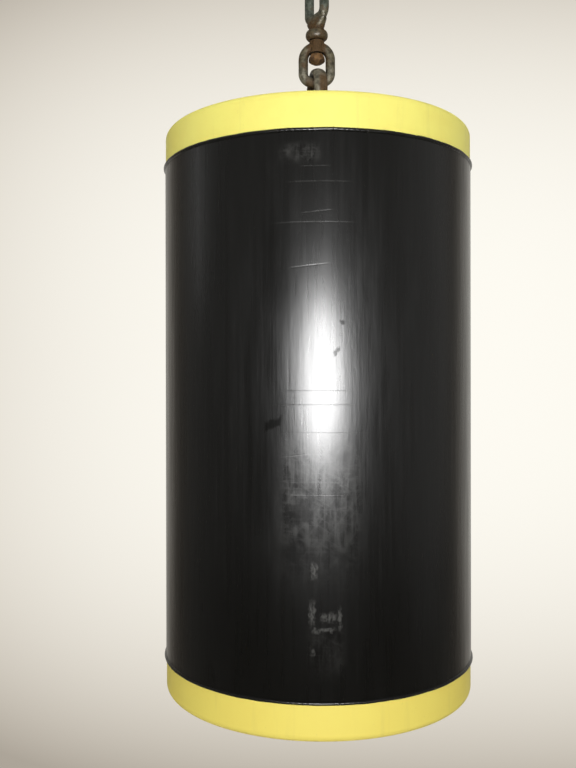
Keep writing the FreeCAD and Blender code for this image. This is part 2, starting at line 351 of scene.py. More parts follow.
# %% [markdown]
# ## Shared effect: blotches
# Zinc, rust, dust and moulded plastic are all uneven, each at its own scale. One group of plain
# noise, with the noise itself and a mask cut from it, serves them all.

# %% Group: blotches
NOISE_RANGE = (0.3, 0.7)    # nearly all values of the noise lie between these


def build_blotches():
    tree, given, result = shader_group(
        "blotches", [("Point", "Vector", None), ("Size", "Float", 0.01), ("Start", "Float", 0.4),
                     ("End", "Float", 0.6), ("Detail", "Float", 4.0), ("Seed", "Float", 0.0)],
        [("Mask", "Float"), ("Value", "Float")])
    scale = maths(tree, "DIVIDE", 1.0, given.outputs["Size"])
    texture = add(tree, "ShaderNodeTexNoise", settings={"noise_dimensions": "4D"},
                  Vector=given.outputs["Point"], W=given.outputs["Seed"], Scale=scale,
                  Detail=given.outputs["Detail"], Roughness=0.62)
    value = texture.outputs["Fac"]
    mask = soft_step(tree, value, given.outputs["Start"], given.outputs["End"])
    tree.links.new(mask, result.inputs["Mask"])
    tree.links.new(value, result.inputs["Value"])
    return tree


BLOTCHES = build_blotches()
print("group", BLOTCHES.name, "has", len(BLOTCHES.nodes), "nodes")

# %% [markdown]
# ## Shared effect: worn edges, and corners darkened with painted shade and dirt
# Handling polishes what sticks out, and dirt stays in what lies back. A Bevel node rounds the
# normal near an edge, so where it differs from the true normal there is an edge. Ambient
# occlusion is low in corners, where shade falls and dirt gathers, so the corner mask stands for
# both: painted shade and dirt.

# %% Group: edges and corners
EDGE_TURN = (0.995, 0.86)      # cosine between the normals where an edge starts and is full
CORNER_LIGHT = (0.85, 0.35)    # what occlusion leaves where a corner starts and is full
FEW_RAYS = {"samples": 6}      # enough for soft masks


def build_edges():
    tree, given, result = shader_group(
        "edges_and_corners", [("Edge Width", "Float", 0.001), ("Corner Reach", "Float", 0.01)],
        [("Edge", "Float"), ("Corner", "Float")])
    bevel = add(tree, "ShaderNodeBevel", settings=FEW_RAYS, Radius=given.outputs["Edge Width"])
    normal = add(tree, "ShaderNodeNewGeometry").outputs["Normal"]
    dot = add(tree, "ShaderNodeVectorMath", settings={"operation": "DOT_PRODUCT"})
    tree.links.new(bevel.outputs[0], dot.inputs[0])
    tree.links.new(normal, dot.inputs[1])
    edge = soft_step(tree, dot.outputs["Value"], *EDGE_TURN)
    occlusion = add(tree, "ShaderNodeAmbientOcclusion", settings=FEW_RAYS,
                    Distance=given.outputs["Corner Reach"])
    corner = soft_step(tree, occlusion.outputs["AO"], *CORNER_LIGHT)
    tree.links.new(edge, result.inputs["Edge"])
    tree.links.new(corner, result.inputs["Corner"])
    return tree


EDGES = build_edges()
print("group", EDGES.name, "has", len(EDGES.nodes), "nodes")

# %% [markdown]
# ## Shared effect: one mark on the surface
# A scratch round the pipe, a scuff and a smudge are all a soft-edged patch that is long one way
# and short the other. The patch has a place, a slope and two sizes. Where its edge has to look
# torn, noise shifts the place that is asked about.

# %% Group: one mark
MARK_SIDES, MARK_ENDS = (1.0, 0.2), (1.0, 0.5)    # shares of its half sizes where it fades in


def build_mark():
    tree, given, result = shader_group(
        "one_mark", [("Around", "Float", 0.0), ("Height", "Float", 0.0),
                     ("Centre", "Float", 0.0), ("Level", "Float", 0.0), ("Slope", "Float", 0.0),
                     ("Half Length", "Float", 0.03), ("Half Width", "Float", 0.001)],
        [("Mask", "Float")])
    along = maths(tree, "SUBTRACT", given.outputs["Around"], given.outputs["Centre"])
    rise = maths(tree, "MULTIPLY", along, given.outputs["Slope"])
    level = maths(tree, "ADD", given.outputs["Level"], rise)
    off = maths(tree, "ABSOLUTE", maths(tree, "SUBTRACT", given.outputs["Height"], level))
    off = maths(tree, "DIVIDE", off, given.outputs["Half Width"])
    reach = maths(tree, "DIVIDE", maths(tree, "ABSOLUTE", along), given.outputs["Half Length"])
    mask = product(tree, soft_step(tree, off, *MARK_SIDES), soft_step(tree, reach, *MARK_ENDS))
    tree.links.new(mask, result.inputs["Mask"])
    return tree


MARK = build_mark()
print("group", MARK.name, "has", len(MARK.nodes), "nodes")


# %% [markdown]
# ## A new material
# Every material here starts the same way: a Principled shader wired to the output. Numbers and
# colours that are the same all over go straight on the shader, so that they survive an export.

# %% Start a material
def new_material(name, **constants):
    """A material, its tree and its Principled shader with the given constants."""
    material = bpy.data.materials.new(name)
    material.use_nodes = True
    tree = material.node_tree
    tree.nodes.clear()
    shader = add(tree, "ShaderNodeBsdfPrincipled", **constants)
    output = tree.nodes.new("ShaderNodeOutputMaterial")
    tree.links.new(shader.outputs[0], output.inputs["Surface"])
    return material, tree, shader


def add_bump(tree, shader, layers):
    """Chains Bump nodes, one for each (height socket, distance in metres, strength)."""
    normal = None
    for height, distance, strength in layers:
        bump = add(tree, "ShaderNodeBump", Height=height, Distance=distance, Strength=strength)
        if normal is not None:
            tree.links.new(normal, bump.inputs["Normal"])
        normal = bump.outputs[0]
    tree.links.new(normal, shader.inputs["Normal"])


def wear(material, node_names, pieces=()):
    """Gives the material to whole CAD nodes and to pieces."""
    for thing in [nodes[name] for name in node_names] + list(pieces):
        slots = thing.data.materials
        slots.clear()
        slots.append(material)
    print(material.name, "->", ", ".join(list(node_names) + [p.name for p in pieces]))


# %% [markdown]
# ## Marks on the pipe
# Handling leaves hair-thin grooves round the pipe, which glint, chalky scuffs where it was
# knocked, smudges and haze that take the sheen away, and patches worn by rubbing. They could be
# painted on a picture, but that would tie them to one size. Here each mark is a row of a table
# with its place and its size, so it can be moved by changing a number.

# %% Tables of marks on the pipe
# columns: centre round the pipe, level above its middle, slope, half length, half width
GROOVES = [
    (-0.002, 0.2748, 0.00, 0.020, 0.0010),
    (0.003, 0.2578, 0.00, 0.042, 0.0013),
    (0.000, 0.2249, 0.10, 0.022, 0.0011),
    (-0.002, 0.2131, 0.00, 0.054, 0.0013),
    (-0.009, 0.1655, 0.11, 0.026, 0.0014),
    (0.000, 0.0283, 0.00, 0.050, 0.0006),
    (0.000, 0.0130, 0.00, 0.054, 0.0007),
    (0.010, -0.0180, 0.00, 0.055, 0.0005),
    (-0.026, -0.0430, 0.12, 0.018, 0.0008),
    (0.004, -0.0860, 0.00, 0.045, 0.0005),
]
SCUFFS = [
    (-0.0040, -0.1700, 0.00, 0.0048, 0.0125),
    (-0.0062, -0.2160, 0.00, 0.0046, 0.0185),
    (0.0060, -0.2350, 0.10, 0.0150, 0.0040),
    (0.0120, -0.2210, 0.00, 0.0110, 0.0075),
    (0.0245, -0.2230, 0.00, 0.0026, 0.0170),
    (-0.0050, -0.2600, 0.00, 0.0035, 0.0050),
]
SMUDGES = [
    (0.0215, 0.0711, 0.90, 0.0050, 0.0050),
    (-0.0500, -0.0085, 0.40, 0.0140, 0.0100),
    (0.0275, 0.1040, -0.30, 0.0035, 0.0035),
]
DARK_LINES = [
    (0.000, 0.0283, 0.00, 0.0520, 0.0012),
    (0.004, 0.0125, 0.00, 0.0500, 0.0018),
    (0.002, -0.0180, 0.00, 0.0450, 0.0009),
]
WORN_PATCHES = [
    (0.002, -0.1050, 0.00, 0.0560, 0.1150),
    (0.009, -0.2550, 0.00, 0.0260, 0.0420),
    (-0.019, 0.2900, 0.00, 0.0280, 0.0150),
]
HAZY_PATCHES = [
    (-0.062, 0.0000, 0.00, 0.0300, 0.2000),
    (-0.046, 0.1700, 0.00, 0.0260, 0.1100),
]
# columns: tilt in degrees, lines per metre across and along them, strength
WORN_LINES = [
    (0.0, 230.0, 16.0, 0.55),
    (90.0, 300.0, 20.0, 0.50),
    (58.0, 260.0, 18.0, 0.40),
    (-40.0, 240.0, 20.0, 0.30),
]
print("marks:", len(GROOVES), "grooves,", len(SCUFFS), "scuffs and", len(SMUDGES), "smudges")

# %% [markdown]
# ## Drawing the marks
# One group draws every row with the group for one mark and keeps the strongest, so marks may
# cross. A groove gets gaps, a scuff and a smudge get torn outlines, and a worn patch is filled
# with fine lines that cross in several directions, as rubbing leaves them. Between the lines
# the patch is only duller, and the pipe's foot is hazy all round.

# %% Group: marks on the pipe
GROOVE_LEAST = 0.35        # what a gap leaves of a groove
WORN_SMEAR = 0.75          # strength of the broad smears between the worn lines
WORN_LEAST = 0.25          # what the least worn places keep of both
WORN_FADE = (PIPE_MIDDLE - 0.20, PIPE_MIDDLE - 0.07, 0.40, 1.0)    # two levels, two strengths
LOW_HAZE = (PIPE_MIDDLE - 0.08, PIPE_MIDDLE - 0.22, 0.0, 0.40)     # the same
DULL_STRENGTH = 0.70       # of the ground between the worn lines
LINE_STRENGTH = 0.30
SMUDGE_STRENGTH = 0.95
HAZE_STRENGTH = 0.50
TEAR_SCALE = 190.0
TEAR_AROUND, TEAR_UP = 0.006, 0.010    # how far noise shifts an outline


def marks_mask(tree, around, height, rows):
    """The strongest of several marks."""
    total = 0.0
    for centre, level, slope, half_length, half_width in rows:
        mark = place(tree, MARK, Around=around, Height=height, Centre=centre,
                     Level=PIPE_MIDDLE + level, Slope=slope, Half_Length=half_length,
                     Half_Width=half_width)
        total = maths(tree, "MAXIMUM", total, mark.outputs["Mask"])
    return total


def build_pipe_marks():
    """Grooves with gaps in them, worn lines, and scuffs and smudges with torn outlines."""
    tree, given, result = shader_group(
        "pipe_marks",
        [("Around", "Float", 0.0), ("Height", "Float", 0.0), ("Point", "Vector", None)],
        [("Grooves", "Float"), ("Scuffs", "Float"), ("Smudges", "Float"), ("Worn", "Float")])
    point, around, height = (given.outputs[n] for n in ("Point", "Around", "Height"))

    gaps = place(tree, BLOTCHES, Point=point, Size=0.012, Start=0.35, End=0.55, Seed=5.0)
    gaps = maths(tree, "ADD", GROOVE_LEAST, gaps.outputs["Mask"], clamp=True)
    grooves = product(tree, marks_mask(tree, around, height, GROOVES), gaps)

    smears = place(tree, STREAKS, Point=point, Across=110.0, Along=38.0, Detail=5.0, Seed=7.0)
    hatch = soft_step(tree, smears.outputs["Value"], 0.36, 0.66, 0.0, WORN_SMEAR)
    for number, (tilt, across, along, strength) in enumerate(WORN_LINES):
        tilted = add(tree, "ShaderNodeVectorRotate", settings={"rotation_type": "Y_AXIS"},
                     Vector=point, Angle=math.radians(tilt))
        lines = place(tree, STREAKS, Point=tilted.outputs[0], Across=across, Along=along,
                      Detail=4.0, Seed=50.0 + number)
        lines = soft_step(tree, lines.outputs["Value"], 0.48, 0.72, 0.0, strength)
        hatch = maths(tree, "ADD", hatch, lines, clamp=True)
    uneven = place(tree, BLOTCHES, Point=point, Size=0.03, Start=0.35, End=0.60, Seed=9.0)
    uneven = maths(tree, "ADD", WORN_LEAST, uneven.outputs["Mask"], clamp=True)
    hatch = product(tree, hatch, uneven, soft_step(tree, height, *WORN_FADE))
    patch = marks_mask(tree, around, height, WORN_PATCHES)
    worn = product(tree, patch, hatch)

    tear = add(tree, "ShaderNodeTexNoise", Vector=point, Scale=TEAR_SCALE, Detail=3.0)
    shift = add(tree, "ShaderNodeSeparateColor", Color=tear.outputs["Color"])

    def torn(value, channel, reach):
        off = maths(tree, "SUBTRACT", shift.outputs[channel], 0.5)
        return maths(tree, "ADD", value, product(tree, off, reach))

    torn_place = torn(around, "Red", TEAR_AROUND), torn(height, "Green", TEAR_UP)
    crumbs = place(tree, STREAKS, Point=point, Across=420.0, Along=190.0, Detail=3.0, Seed=4.0)
    scuffs = product(tree, marks_mask(tree, *torn_place, SCUFFS),
                     soft_step(tree, crumbs.outputs["Value"], 0.34, 0.62))

    smudges = largest(
        tree,
        product(tree, marks_mask(tree, *torn_place, SMUDGES), SMUDGE_STRENGTH),
        product(tree, marks_mask(tree, around, height, DARK_LINES), LINE_STRENGTH),
        product(tree, maths(tree, "SUBTRACT", patch, worn), DULL_STRENGTH),
        product(tree, marks_mask(tree, around, height, HAZY_PATCHES), HAZE_STRENGTH),
        soft_step(tree, height, *LOW_HAZE))

    for name, mask in (("Grooves", grooves), ("Scuffs", scuffs),
                       ("Smudges", smudges), ("Worn", worn)):
        tree.links.new(mask, result.inputs[name])
    return tree


PIPE_MARKS = build_pipe_marks()
print("group", PIPE_MARKS.name, "has", len(PIPE_MARKS.nodes), "nodes")


# %% [markdown]
# ## Black pipe
# Black polyethylene comes from the die with fine lines along it. They spread a highlight
# sideways and leave it narrow upwards. Thousands of real lines would do that too, but one
# number, Anisotropic, describes it, with a tangent that runs round the axis. The marks then
# decide where the plastic is chalky, rougher or without its sheen. The pale colour of the worn
# patches is partly rubbed plastic and partly a painted highlight below the real one.

# %% Material: black pipe
PLASTIC_BLACK = (0.0022, 0.0021, 0.0017, 1)
CHALK_GREY = (0.20, 0.20, 0.195, 1)
# the worn patches' chalk is partly real rubbing and partly painted highlight
SCUFF_CHALK, GROOVE_CHALK, FLECK_CHALK, WORN_CHALK_AND_HIGHLIGHT, DUST_CHALK = 0.30, 0.06, 0.015, 0.13, 0.025
PIPE_ROUGHNESS = (0.245, 0.295)
LINE_ROUGHER, WORN_ROUGHER = 0.045, 0.06
SHEEN, SMUDGED_SHEEN = 0.15, 0.03


def black_pipe_material():
    material, tree, shader = new_material(
        "black_pipe", Anisotropic=0.60, Coat_Weight=0.28, Coat_Roughness=0.24, Coat_IOR=1.30)
    where = place(tree, ROUND_AXIS, Radius=PIPE_R)
    point = where.outputs["Point"]
    fine = place(tree, STREAKS, Point=point, Across=900.0, Along=9.0, Detail=2.0, Seed=1.0)
    broad = place(tree, STREAKS, Point=point, Across=150.0, Along=5.0, Detail=3.0, Seed=2.0)
    dusty = place(tree, BLOTCHES, Point=point, Size=0.07, Start=0.42, End=0.72, Seed=3.0)
    flecks = place(tree, BLOTCHES, Point=point, Size=0.0022, Start=0.66, End=0.74, Seed=6.0)
    marks = place(tree, PIPE_MARKS, Around=where.outputs["Around"],
                  Height=where.outputs["Height"], Point=point)
    grooves, scuffs, worn = (marks.outputs[n] for n in ("Grooves", "Scuffs", "Worn"))
    chalk = product(tree, dusty.outputs["Mask"],
                    soft_step(tree, broad.outputs["Value"], 0.50, 0.75, 0.0, DUST_CHALK))
    for mask, strength in ((scuffs, SCUFF_CHALK), (grooves, GROOVE_CHALK),
                           (flecks.outputs["Mask"], FLECK_CHALK), (worn, WORN_CHALK_AND_HIGHLIGHT)):
        chalk = maths(tree, "ADD", chalk, product(tree, mask, strength), clamp=True)
    colour = mix_colours(tree, chalk, PLASTIC_BLACK, CHALK_GREY)
    tree.links.new(colour, shader.inputs["Base Color"])
    cloud = place(tree, STREAKS, Point=point, Across=52.0, Along=8.0, Detail=4.0, Seed=8.0)
    lines = soft_step(tree, broad.outputs["Value"], *NOISE_RANGE, 0.0, LINE_ROUGHER)
    rough = soft_step(tree, cloud.outputs["Value"], 0.35, 0.70, *PIPE_ROUGHNESS)
    rough = chain(tree, "ADD", lines, rough, product(tree, worn, WORN_ROUGHER))
    tree.links.new(rough, shader.inputs["Roughness"])
    sheen = soft_step(tree, marks.outputs["Smudges"], 0.0, 1.0, SHEEN, SMUDGED_SHEEN)
    tree.links.new(sheen, shader.inputs["Specular IOR Level"])
    tangent = add(tree, "ShaderNodeTangent", settings={"direction_type": "RADIAL", "axis": "Z"})
    tree.links.new(tangent.outputs[0], shader.inputs["Tangent"])
    add_bump(tree, shader, [
        (fine.outputs["Value"], 0.00012, 0.30),
        (broad.outputs["Value"], 0.0005, 0.30),
        (cloud.outputs["Value"], 0.0014, 0.35),
        (product(tree, grooves, -1.0), 0.00020, 0.24),
        (scuffs, 0.0004, 0.4)])
    return material


wear(black_pipe_material(), ["pipe_shell"], beads)

# %% [markdown]
# ## Yellow caps
# The caps are moulded in coloured plastic, so the colour goes all the way through and only
# dust and handling change it: runs of dirt down the side and flecks. The corners are darkened
# where ambient occlusion is low, which is painted shade with some grime. The lower cap is the
# deeper yellow of the two. Two materials could say so, but height tells the caps apart as well,
# so one material is enough.

# %% Material: yellow cap
CAP_YELLOW, CAP_YELLOW_DIM = (0.885, 0.828, 0.205, 1), (0.86, 0.780, 0.188, 1)
LOW_CAP_YELLOW = (0.80, 0.63, 0.115, 1)
# dark colour for dirt runs and flecks, and for painted shade with grime in the corners
CAP_GRIME_AND_SHADE = (0.30, 0.25, 0.12, 1)
RUN_GRIME, FLECK_GRIME, CORNER_SHADE_AND_GRIME = 0.12, 0.10, 0.45
LOW_CAP = (PIPE_MIDDLE + 0.1, PIPE_MIDDLE - 0.1, 0.0, 0.55)    # two levels, two shares
CAP_ROUGHNESS = (0.48, 0.58)


def yellow_cap_material():
    material, tree, shader = new_material("yellow_cap", Specular_IOR_Level=0.12)
    where = place(tree, ROUND_AXIS, Radius=PIPE_R)
    point = where.outputs["Point"]
    cloud = place(tree, BLOTCHES, Point=point, Size=0.05, Start=0.35, End=0.70, Seed=11.0)
    runs = place(tree, STREAKS, Point=point, Across=90.0, Along=6.0, Detail=3.0, Seed=12.0)
    fleck = place(tree, BLOTCHES, Point=point, Size=0.004, Start=0.62, End=0.72, Seed=13.0)
    corner = place(tree, EDGES, Edge_Width=0.002, Corner_Reach=0.012)
    base = mix_colours(tree, cloud.outputs["Mask"], CAP_YELLOW, CAP_YELLOW_DIM)
    low = soft_step(tree, where.outputs["Height"], *LOW_CAP)
    base = mix_colours(tree, low, base, LOW_CAP_YELLOW)
    grime_and_shade = soft_step(tree, runs.outputs["Value"], 0.55, 0.8, 0.0, RUN_GRIME)
    grime_and_shade = maths(tree, "ADD", grime_and_shade, product(tree, fleck.outputs["Mask"], FLECK_GRIME))
    # corners darkened where ambient occlusion is low: painted shade, with some grime
    grime_and_shade = maths(tree, "ADD", grime_and_shade, product(tree, corner.outputs["Corner"], CORNER_SHADE_AND_GRIME),
                  clamp=True)
    colour = mix_colours(tree, grime_and_shade, base, CAP_GRIME_AND_SHADE)
    tree.links.new(colour, shader.inputs["Base Color"])
    rough = soft_step(tree, cloud.outputs["Value"], *NOISE_RANGE, *CAP_ROUGHNESS)
    tree.links.new(rough, shader.inputs["Roughness"])
    add_bump(tree, shader, [(runs.outputs["Value"], 0.0004, 0.25),
                            (fleck.outputs["Value"], 0.0001, 0.3)])
    return material


wear(yellow_cap_material(), ["top_cap", "bottom_cap"])

# %% [markdown]
# ## Shared effect: close to the swivel's pin
# Water stands where the swivel turns, so everything near its pin is rusty, whatever piece it
# belongs to. A stain painted on each piece would have to be matched at every seam. One mask
# that is one inside a short upright cylinder round the pin crosses the seams by itself.

# %% Group: near the pin
head_low, head_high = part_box("swivel_head")
PIN_TOP = head_high.z + 0.044        # the stained stretch goes this far above the head,
PIN_BOTTOM = head_low.z - 0.002      # this far below it
PIN_REACH = head_high.x + 0.003      # and this far beside it
PIN_SOFT_SIDE, PIN_SOFT_TOP, PIN_SOFT_FOOT = 0.003, 0.006, 0.004    # how far its edges fade
PIN_WANDER = 0.016         # how far noise shifts its edges


def build_near_pin():
    tree, given, result = shader_group(
        "near_the_pin", [("Point", "Vector", None)], [("Mask", "Float")])
    parts = add(tree, "ShaderNodeSeparateXYZ", Vector=given.outputs["Point"])
    flat = add(tree, "ShaderNodeCombineXYZ", X=parts.outputs["X"], Y=parts.outputs["Y"])
    reach = add(tree, "ShaderNodeVectorMath", settings={"operation": "LENGTH"},
                Vector=flat.outputs[0])
    noisy = place(tree, BLOTCHES, Point=given.outputs["Point"], Size=0.007, Seed=24.0)
    wander = product(tree, maths(tree, "SUBTRACT", noisy.outputs["Value"], 0.5), PIN_WANDER)
    reach = maths(tree, "ADD", reach.outputs["Value"], wander)
    height = maths(tree, "ADD", parts.outputs["Z"], wander)
    mask = product(
        tree,
        soft_step(tree, height, PIN_TOP + PIN_SOFT_TOP, PIN_TOP - PIN_SOFT_TOP),
        soft_step(tree, height, PIN_BOTTOM - PIN_SOFT_FOOT, PIN_BOTTOM),
        soft_step(tree, reach, PIN_REACH + PIN_SOFT_SIDE, PIN_REACH - PIN_SOFT_SIDE))
    tree.links.new(mask, result.inputs["Mask"])
    return tree


NEAR_PIN = build_near_pin()
print("group", NEAR_PIN.name, f"reaches {PIN_REACH * 1000:.0f} mm from the axis")

# %% [markdown]
# ## Galvanised steel
# Dipped zinc goes dull and dark with age. It stays bright where it rubs, and it is brown where
# the rust comes through, green where it stays damp. Its corners are darkened where ambient
# occlusion is low, which is painted shade with some dirt. A plain metal would mirror the room,
# so most of the look comes from layers of colour, and little of it from metal.

# %% Material: galvanised steel
RING_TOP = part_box("top_eye_nut")[1].z
PLATE_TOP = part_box("top_plate")[1].z
COLLAR_TOP = head_high.z + 0.036
RING_CLEANER = (RING_TOP + 0.004, RING_TOP - 0.004)    # below this the zinc is cleaner
MOSSY = (COLLAR_TOP + 0.004, COLLAR_TOP + 0.024)       # above this it is green
# the rusty foot of the ring, from where its stain starts to where it is full
FOOT_FROM_TOP = (RING_TOP - 0.007, RING_TOP - 0.020)
FOOT_FROM_PLATE = (PLATE_TOP + 0.003, PLATE_TOP + 0.008)
FOOT_FROM_INSIDE, FOOT_FROM_OUTSIDE = (0.001, 0.006), (0.018, 0.012)
PATCH_RUST, PIN_RUST, FOOT_RUST = 0.7, 0.9, 0.85
# each pair of colours is for the dark and the pale grains of the spangle
OLD_ZINC = (0.034, 0.029, 0.016, 1), (0.118, 0.101, 0.060, 1)
GREEN_ZINC = (0.028, 0.034, 0.025, 1), (0.092, 0.106, 0.084, 1)
CLEAN_ZINC = (0.055, 0.049, 0.032, 1), (0.200, 0.184, 0.138, 1)
BROWN_RUST = (0.038, 0.020, 0.009, 1), (0.118, 0.068, 0.030, 1)
RUBBED_ZINC, RUBBED_SHARE = (0.24, 0.23, 0.20, 1), 0.3
# painted shade, with some dirt, in corners where ambient occlusion is low
CORNER_SHADE_AND_DIRT, CORNER_SHADE_AND_DIRT_SHARE = (0.022, 0.017, 0.012, 1), 0.85
ZINC_METALLIC = 0.22       # dull zinc is only partly metallic, and rust isn't at all
ZINC_ROUGHNESS, RUST_ROUGHER = (0.36, 0.54), 0.2
ZINC_SHEEN, RUST_SHEEN = 0.35, 0.06


def galvanised_material():
    material, tree, shader = new_material("galvanised")
    point = place(tree, ROUND_AXIS, Radius=PIPE_R).outputs["Point"]
    spangle = place(tree, BLOTCHES, Point=point, Size=0.006, Start=0.35, End=0.65, Seed=21.0)
    rust = place(tree, BLOTCHES, Point=point, Size=0.012, Start=0.52, End=0.66, Seed=22.0)
    pits = place(tree, BLOTCHES, Point=point, Size=0.0016, Start=0.3, End=0.7, Seed=23.0)
    edges = place(tree, EDGES, Edge_Width=0.0012, Corner_Reach=0.010)
    pin = place(tree, NEAR_PIN, Point=point)
    parts = add(tree, "ShaderNodeSeparateXYZ", Vector=point)
    level = parts.outputs["Z"]
    aside = maths(tree, "ABSOLUTE", parts.outputs["X"])
    foot = product(tree, soft_step(tree, level, *FOOT_FROM_TOP),
                   soft_step(tree, level, *FOOT_FROM_PLATE))
    sides = product(tree, soft_step(tree, aside, *FOOT_FROM_INSIDE),
                    soft_step(tree, aside, *FOOT_FROM_OUTSIDE))
    rusty = largest(
        tree,
        product(tree, rust.outputs["Mask"], PATCH_RUST),
        product(tree, pin.outputs["Mask"], PIN_RUST),
        product(tree, product(tree, foot, sides), FOOT_RUST))

    grain = spangle.outputs["Mask"]
    dull = mix_colours(tree, soft_step(tree, level, *MOSSY),
                       mix_colours(tree, grain, *OLD_ZINC), mix_colours(tree, grain, *GREEN_ZINC))
    zinc = mix_colours(tree, soft_step(tree, level, *RING_CLEANER),
                       dull, mix_colours(tree, grain, *CLEAN_ZINC))
    brown = mix_colours(tree, rusty, zinc,
                        mix_colours(tree, pits.outputs["Mask"], *BROWN_RUST))
    rubbed = product(tree, edges.outputs["Edge"], RUBBED_SHARE)
    bright = mix_colours(tree, rubbed, brown, RUBBED_ZINC)
    # corners darkened where ambient occlusion is low: painted shade, with some dirt
    shaded_and_dirty = product(tree, edges.outputs["Corner"], CORNER_SHADE_AND_DIRT_SHARE)
    tree.links.new(mix_colours(tree, shaded_and_dirty, bright, CORNER_SHADE_AND_DIRT), shader.inputs["Base Color"])

    sheen = soft_step(tree, rusty, 0.0, 1.0, ZINC_SHEEN, RUST_SHEEN)
    tree.links.new(sheen, shader.inputs["Specular IOR Level"])
    metal = maths(tree, "SUBTRACT", ZINC_METALLIC, product(tree, rusty, ZINC_METALLIC))
    tree.links.new(metal, shader.inputs["Metallic"])
    rough = soft_step(tree, spangle.outputs["Value"], *NOISE_RANGE, *ZINC_ROUGHNESS)
    rough = maths(tree, "ADD", rough, product(tree, rusty, RUST_ROUGHER))
    tree.links.new(rough, shader.inputs["Roughness"])
    add_bump(tree, shader, [(spangle.outputs["Value"], 0.0006, 0.3),
                            (pits.outputs["Value"], 0.0003, 0.3)])
    return material


wear(galvanised_material(), ["top_lock_nut", "top_plate", "bottom_plate", "tie_rod"],
     [forged[n] for n in ("swivel_eye", "swivel_bail", "top_eye_nut", "bottom_eye_nut")])

# %% [markdown]
# ## Rust
# The riveted head below the boss has lost its zinc. Rust is matt, orange where it is fresh and
# near black where it is old, and its scale lifts off in flakes. The forged mesh holds its large
# dents, and a strong bump draws the flakes, which are too many to model.

# %% Material: rusty steel
OLD_RUST = (0.040, 0.021, 0.010, 1), (0.100, 0.058, 0.028, 1)
FRESH_RUST = (0.185, 0.100, 0.042, 1)
RUST_ROUGHNESS = (0.6, 0.85)


def rusty_material():
    material, tree, shader = new_material("rusty_steel", Specular_IOR_Level=0.1)
    point = place(tree, ROUND_AXIS, Radius=PIPE_R).outputs["Point"]
    fresh = place(tree, BLOTCHES, Point=point, Size=0.008, Start=0.40, End=0.62, Seed=31.0)
    scale = place(tree, BLOTCHES, Point=point, Size=0.003, Start=0.35, End=0.65, Seed=32.0)
    old = mix_colours(tree, scale.outputs["Mask"], *OLD_RUST)
    colour = mix_colours(tree, fresh.outputs["Mask"], old, FRESH_RUST)
    tree.links.new(colour, shader.inputs["Base Color"])
    rough = soft_step(tree, scale.outputs["Value"], *NOISE_RANGE, *RUST_ROUGHNESS)
    tree.links.new(rough, shader.inputs["Roughness"])
    add_bump(tree, shader, [(scale.outputs["Value"], 0.0012, 0.6)])
    return material


wear(rusty_material(), [], [forged["swivel_head"]])

# %% [markdown]
# ## Wall and floor
# The buoy hangs in front of a pale wall, above a pale floor. Neither is part of it. A wall that
# one lamp lights is brightest in the middle. Here that falloff is painted light: the wall glows
# with it in its own colour, seen directly and in reflections, so no lamp has to be found for it,
# and the pipe's edges pick it up. From behind, the wall and the floor let the eye through, so
# the buoy can be looked at from every side.

# %% Wall and floor
WALL_BEHIND = 1.00         # from the buoy's axis, clear of the float's full swing
FLOOR_DROP = 0.75          # below the lowest piece
STAGE_HALF = 3.0
STAGE_COLOUR = (0.86, 0.835, 0.775, 1)
# the wall's painted light: its dim and bright tints, where it is brightest and how it fades
TINT_DIM, TINT_BRIGHT = (0.99, 0.84, 0.66, 1), (0.99, 0.965, 0.89, 1)
DARK = (0.0, 0.0, 0.0, 1)
GLOW_X, GLOW_Z = 0.271, PIPE_MIDDLE + 0.102    # brightest place of the wall
GLOW_WIDE = 0.69           # slower falloff sideways than up and down
GLOW_FADE = 0.40           # part of the brightness lost one metre away
GLOW_POWER = 3.0           # flat round the brightest place, steep further out
WALL_DARKEST = 0.22        # as the pipe reflects it
WALL_SEEN_DARKEST = 0.42   # as the camera sees it


def picked_rays(tree):
    """One for rays from the camera and for reflected and refracted ones."""
    path = tree.nodes.new("ShaderNodeLightPath")
    return largest(tree, path.outputs["Is Camera Ray"], path.outputs["Is Glossy Ray"],
                   path.outputs["Is Transmission Ray"])


def mix_shaders(tree, factor, first, second):
    either = tree.nodes.new("ShaderNodeMixShader")
    for number, socket in enumerate((factor, first, second)):
        tree.links.new(socket, either.inputs[number])
    return either.outputs[0]


def painted_wall_light(tree):
    """Painted light on the wall: a cubic falloff from its brightest place, warmer where it is
    dimmer.
    """
    point = add(tree, "ShaderNodeTexCoord").outputs["Object"]
    parts = add(tree, "ShaderNodeSeparateXYZ", Vector=point)
    lost = 0.0
    for name, middle, scale in (("X", GLOW_X, GLOW_WIDE), ("Z", GLOW_Z, 1.0)):
        off = maths(tree, "ABSOLUTE", maths(tree, "SUBTRACT", parts.outputs[name], middle))
        off = maths(tree, "POWER", product(tree, off, scale), GLOW_POWER)
        lost = maths(tree, "ADD", lost, product(tree, off, GLOW_FADE))
    path = tree.nodes.new("ShaderNodeLightPath")
    seen_least = product(tree, path.outputs["Is Camera Ray"], WALL_SEEN_DARKEST)
    left = largest(tree, maths(tree, "SUBTRACT", 1.0, lost), WALL_DARKEST, seen_least)
    return mix_colours(tree, left, DARK, mix_colours(tree, left, TINT_DIM, TINT_BRIGHT))


def paint(name):
    """The matt paint that the wall and the floor share."""
    return new_material(name, Base_Color=STAGE_COLOUR, Roughness=0.9, Specular_IOR_Level=0.2)


def show_front(tree, front):
    """Puts a surface on the front of the sheet and lets the eye through from behind."""
    clear = tree.nodes.new("ShaderNodeBsdfTransparent")
    backfacing = add(tree, "ShaderNodeNewGeometry").outputs["Backfacing"]
    surface = mix_shaders(tree, backfacing, front, clear.outputs[0])
    output = next(n for n in tree.nodes if n.type == "OUTPUT_MATERIAL")
    tree.links.new(surface, output.inputs["Surface"])


